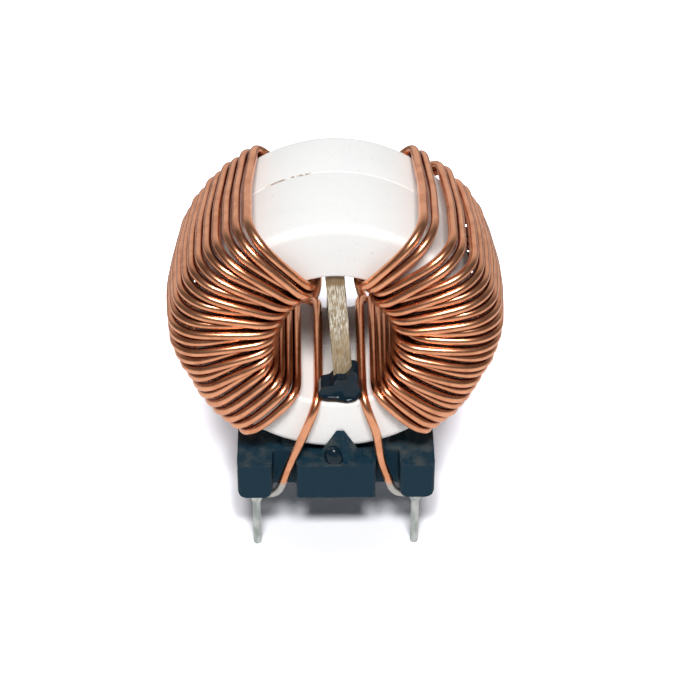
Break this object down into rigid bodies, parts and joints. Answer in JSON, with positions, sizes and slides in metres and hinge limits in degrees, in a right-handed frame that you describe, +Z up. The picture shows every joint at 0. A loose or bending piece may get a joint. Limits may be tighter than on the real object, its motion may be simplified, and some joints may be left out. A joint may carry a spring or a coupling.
{
  "type": "toroidal inductor",
  "caption": "Vertical toroidal common-mode choke: copper windings on a cased ring core, on a moulded base with round pins for a circuit board.",
  "frame": {"origin": "on the ground plane, midway between the four pins, at the height of their tips", "axes": "+Z up along the pins, +Y along the ring's axis towards the rear, -Y the side with the front wire ends, +X to the right seen from the front"},
  "size_m": [0.0308, 0.0184, 0.0366],
  "materials": {
    "base_moulding": "moulded black phenolic, dusty on top, faint blue sheen on the fronts",
    "case_plastic": "fine matt white, lightly speckled, with brown dirt along the seam",
    "ferrite": "sintered, matt dark grey",
    "copper_wire": "glossy enamelled copper magnet wire",
    "fibreglass": "sawn glass-fibre board edge with pale frayed streaks",
    "epoxy": "glossy blue-black epoxy",
    "tinned_pin": "dull tinned",
    "solder": "dull solder"
  },
  "bodies": {
    "root": {"base": "base_moulding", "case_front_shell": "case_plastic", "case_rear_shell": "case_plastic", "ferrite_core": "ferrite", "winding_left": "copper_wire", "winding_right": "copper_wire", "divider_board": "fibreglass", "glue_divider_front": "epoxy", "glue_divider_rear": "epoxy", "glue_base_front": "epoxy", "glue_base_rear": "epoxy", "pin_front_left": "tinned_pin", "pin_front_right": "tinned_pin", "pin_rear_left": "tinned_pin", "pin_rear_right": "tinned_pin", "solder_front_left": "solder", "solder_front_right": "solder", "solder_rear_left": "solder", "solder_rear_right": "solder"}
  },
  "joints": []
}
